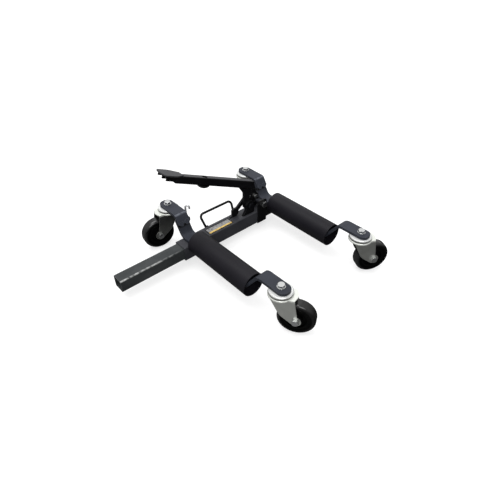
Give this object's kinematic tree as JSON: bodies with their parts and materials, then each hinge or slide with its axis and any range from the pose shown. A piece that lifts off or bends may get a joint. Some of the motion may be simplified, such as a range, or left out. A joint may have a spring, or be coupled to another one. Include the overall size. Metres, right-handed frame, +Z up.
{
  "type": "vehicle positioning jack",
  "caption": "Wheeled car dolly: a foot pedal ratchets roller arms on a telescoping beam together under a tyre, and swivel casters let the lifted wheel roll any way.",
  "frame": {"origin": "middle of the footprint, on the floor", "axes": "+X along the beam from its free end towards the far arm, +Y from the rollers towards the carry handle, +Z up"},
  "size_m": [0.6558, 0.6044, 0.3219],
  "materials": {
    "black_paint": "satin black powder coat",
    "arm_paint": "satin blue-grey powder coat",
    "tube_paint": "satin grey-green powder coat, rubbed along the top edges",
    "roller_paint": "smooth satin near-black coat",
    "wheel_rubber": "moulded black rubber",
    "hub_plastic": "black moulded plastic",
    "zinc_plate": "bright zinc plate",
    "zinc_bolts": "bright zinc plate",
    "dark_bolts": "black oxide",
    "bush_plastic": "black moulded nylon",
    "bumper_rubber": "black rubber",
    "pawl_steel": "satin black coat"
  },
  "bodies": {
    "base": {"outer_tube": "black_paint", "near_arm_bar": "arm_paint", "near_rear_bracket": "arm_paint", "near_lap_bolts": "dark_bolts", "near_bushings": "bush_plastic", "near_races": "zinc_plate", "near_king_bolts": "zinc_bolts", "pedal_ear": "black_paint", "pivot_bolt": "dark_bolts", "cheek_front": "black_paint", "cheek_back": "black_paint", "hold_bolt": "zinc_bolts", "hold_spacers": "dark_bolts", "carry_handle": "black_paint", "pin_lug": "arm_paint"},
    "slider": {"inner_tube": "tube_paint", "far_seat": "arm_paint", "far_arm_bar": "arm_paint", "far_rear_bracket": "arm_paint", "far_lap_bolts": "dark_bolts", "far_bushings": "bush_plastic", "far_races": "zinc_plate", "far_king_bolts": "zinc_bolts"},
    "near_roller": {"near_roller": "roller_paint"},
    "far_roller": {"far_roller": "roller_paint"},
    "pedal": {"pedal_tube": "black_paint", "pedal_pad": "black_paint", "pedal_ribs": "black_paint", "pedal_bumper": "bumper_rubber", "bumper_screw": "zinc_bolts", "pedal_heel": "black_paint", "heel_bolt": "zinc_bolts", "drive_pin": "zinc_bolts", "drive_spacer": "zinc_bolts"},
    "drive_pawl": {"drive_pawl": "pawl_steel"},
    "hold_pawl": {"hold_pawl": "pawl_steel"},
    "lock_pin": {"lock_pin": "zinc_bolts"},
    "caster_nf_swivel": {"caster_nf_fork": "zinc_plate", "caster_nf_axle": "zinc_bolts"},
    "caster_nf_wheel": {"caster_nf_tyre": "wheel_rubber", "caster_nf_hub": "hub_plastic"},
    "caster_ff_swivel": {"caster_ff_fork": "zinc_plate", "caster_ff_axle": "zinc_bolts"},
    "caster_ff_wheel": {"caster_ff_tyre": "wheel_rubber", "caster_ff_hub": "hub_plastic"},
    "caster_nr_swivel": {"caster_nr_fork": "zinc_plate", "caster_nr_axle": "zinc_bolts"},
    "caster_nr_wheel": {"caster_nr_tyre": "wheel_rubber", "caster_nr_hub": "hub_plastic"},
    "caster_fr_swivel": {"caster_fr_fork": "zinc_plate", "caster_fr_axle": "zinc_bolts"},
    "caster_fr_wheel": {"caster_fr_tyre": "wheel_rubber", "caster_fr_hub": "hub_plastic"}
  },
  "joints": [
    {"name": "tube_slide", "type": "slide", "parent": "base", "child": "slider", "axis": [1, 0, 0], "range_m": [0, 0.24]},
    {"name": "near_roller_spin", "type": "hinge", "parent": "base", "child": "near_roller", "pos_m": [-0.07793, -0.00014, 0.075], "axis": [0, 1, 0], "continuous": true},
    {"name": "far_roller_spin", "type": "hinge", "parent": "slider", "child": "far_roller", "pos_m": [0.24107, -0.00014, 0.075], "axis": [0, 1, 0], "continuous": true},
    {"name": "caster_nf_turn", "type": "hinge", "parent": "base", "child": "caster_nf_swivel", "pos_m": [-0.07793, -0.21664, 0.1165], "axis": [0, 0, 1], "continuous": true},
    {"name": "caster_nf_roll", "type": "hinge", "parent": "caster_nf_swivel", "child": "caster_nf_wheel", "pos_m": [-0.05468, -0.25458, 0.05], "axis": [0.8526, 0.5225, 0], "continuous": true},
    {"name": "caster_ff_turn", "type": "hinge", "parent": "slider", "child": "caster_ff_swivel", "pos_m": [0.24107, -0.21664, 0.1165], "axis": [0, 0, 1], "continuous": true},
    {"name": "caster_ff_roll", "type": "hinge", "parent": "caster_ff_swivel", "child": "caster_ff_wheel", "pos_m": [0.2798, -0.23855, 0.05], "axis": [0.4924, 0.8704, 0], "continuous": true},
    {"name": "caster_nr_turn", "type": "hinge", "parent": "base", "child": "caster_nr_swivel", "pos_m": [-0.07793, 0.26576, 0.1165], "axis": [0, 0, 1], "continuous": true},
    {"name": "caster_nr_roll", "type": "hinge", "parent": "caster_nr_swivel", "child": "caster_nr_wheel", "pos_m": [-0.12188, 0.27272, 0.05], "axis": [-0.1564, -0.9877, 0], "continuous": true},
    {"name": "caster_fr_turn", "type": "hinge", "parent": "slider", "child": "caster_fr_swivel", "pos_m": [0.24107, 0.26576, 0.1165], "axis": [0, 0, 1], "continuous": true},
    {"name": "caster_fr_roll", "type": "hinge", "parent": "caster_fr_swivel", "child": "caster_fr_wheel", "pos_m": [0.2488, 0.22193, 0.05], "axis": [0.9848, 0.1736, 0], "continuous": true},
    {"name": "pedal_press", "type": "hinge", "parent": "base", "child": "pedal", "pos_m": [0.14257, 0.14726, 0.1], "axis": [0, -1, 0], "range_deg": [0, 30]},
    {"name": "drive_pawl_swing", "type": "hinge", "parent": "pedal", "child": "drive_pawl", "pos_m": [0.14857, 0.15526, 0.128], "axis": [0, 1, 0], "range_deg": [0, 31]},
    {"name": "hold_pawl_lift", "type": "hinge", "parent": "base", "child": "hold_pawl", "pos_m": [0.18967, 0.15526, 0.091], "axis": [0, 1, 0], "range_deg": [0, 20]},
    {"name": "lock_pin_lift", "type": "slide", "parent": "base", "child": "lock_pin", "axis": [0, 0, 1], "range_m": [0, 0.008]}
  ],
  "couplings": [
    {"joint": "drive_pawl_swing", "follows": "pedal_press", "ratio": 1.026}
  ]
}
